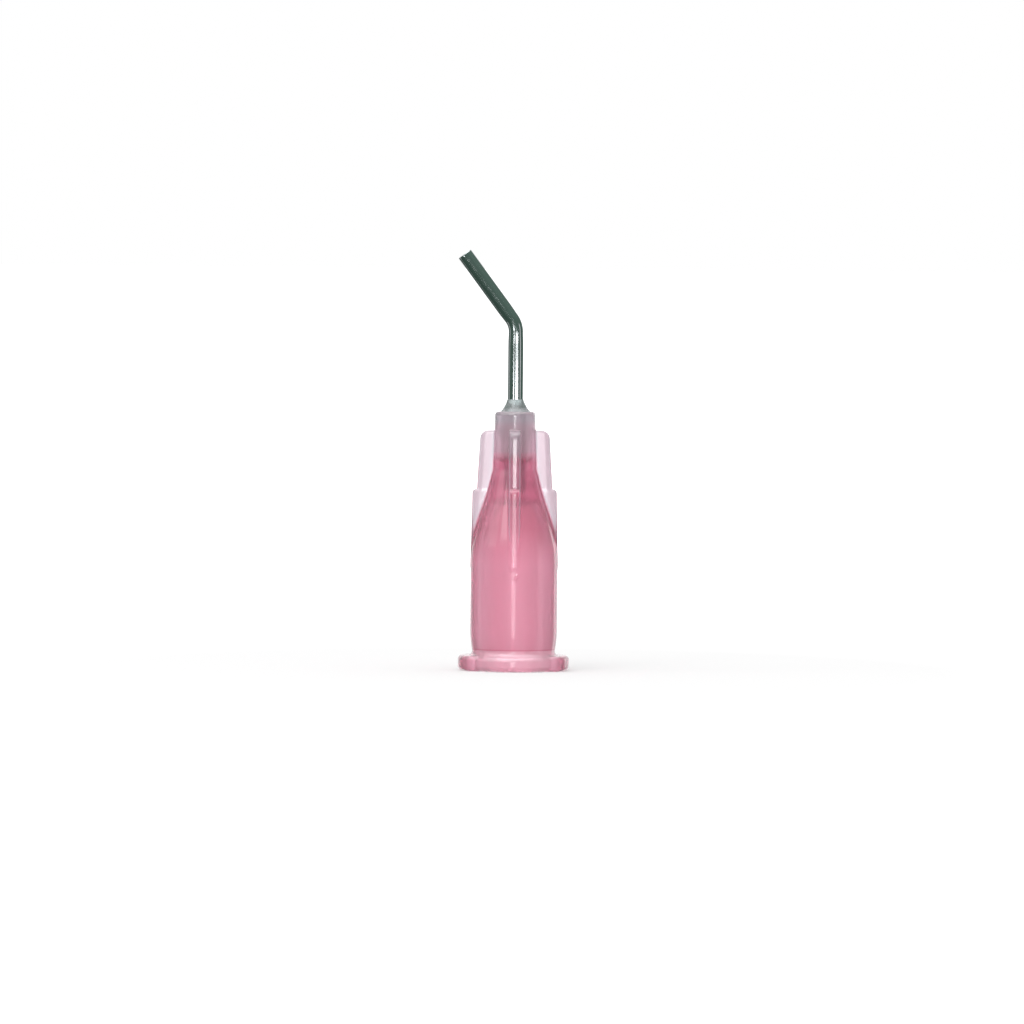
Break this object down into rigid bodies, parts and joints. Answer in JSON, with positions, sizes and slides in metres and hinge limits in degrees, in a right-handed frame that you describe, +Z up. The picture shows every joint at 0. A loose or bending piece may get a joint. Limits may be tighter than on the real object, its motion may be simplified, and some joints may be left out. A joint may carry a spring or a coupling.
{
  "type": "bent dispensing needle tip",
  "caption": "Dispensing needle tip: a ribbed translucent hub with a female Luer-lock socket holds a bent steel cannula with a square-cut end.",
  "frame": {"origin": "on the hub's axis, at the mouth of the Luer socket, which is the flange's flat face", "axes": "+Z up the hub's axis towards the cannula; the bent leg leans towards -X; the lock lugs point to +X and -X"},
  "size_m": [0.0079, 0.0066, 0.0295],
  "materials": {
    "hub_plastic": "translucent pink polypropylene, injection moulded",
    "cannula_steel": "drawn stainless steel tube, passivated",
    "cured_adhesive": "clear ultraviolet-cured adhesive"
  },
  "bodies": {
    "root": {"hub": "hub_plastic", "cannula": "cannula_steel", "adhesive": "cured_adhesive"}
  },
  "joints": []
}
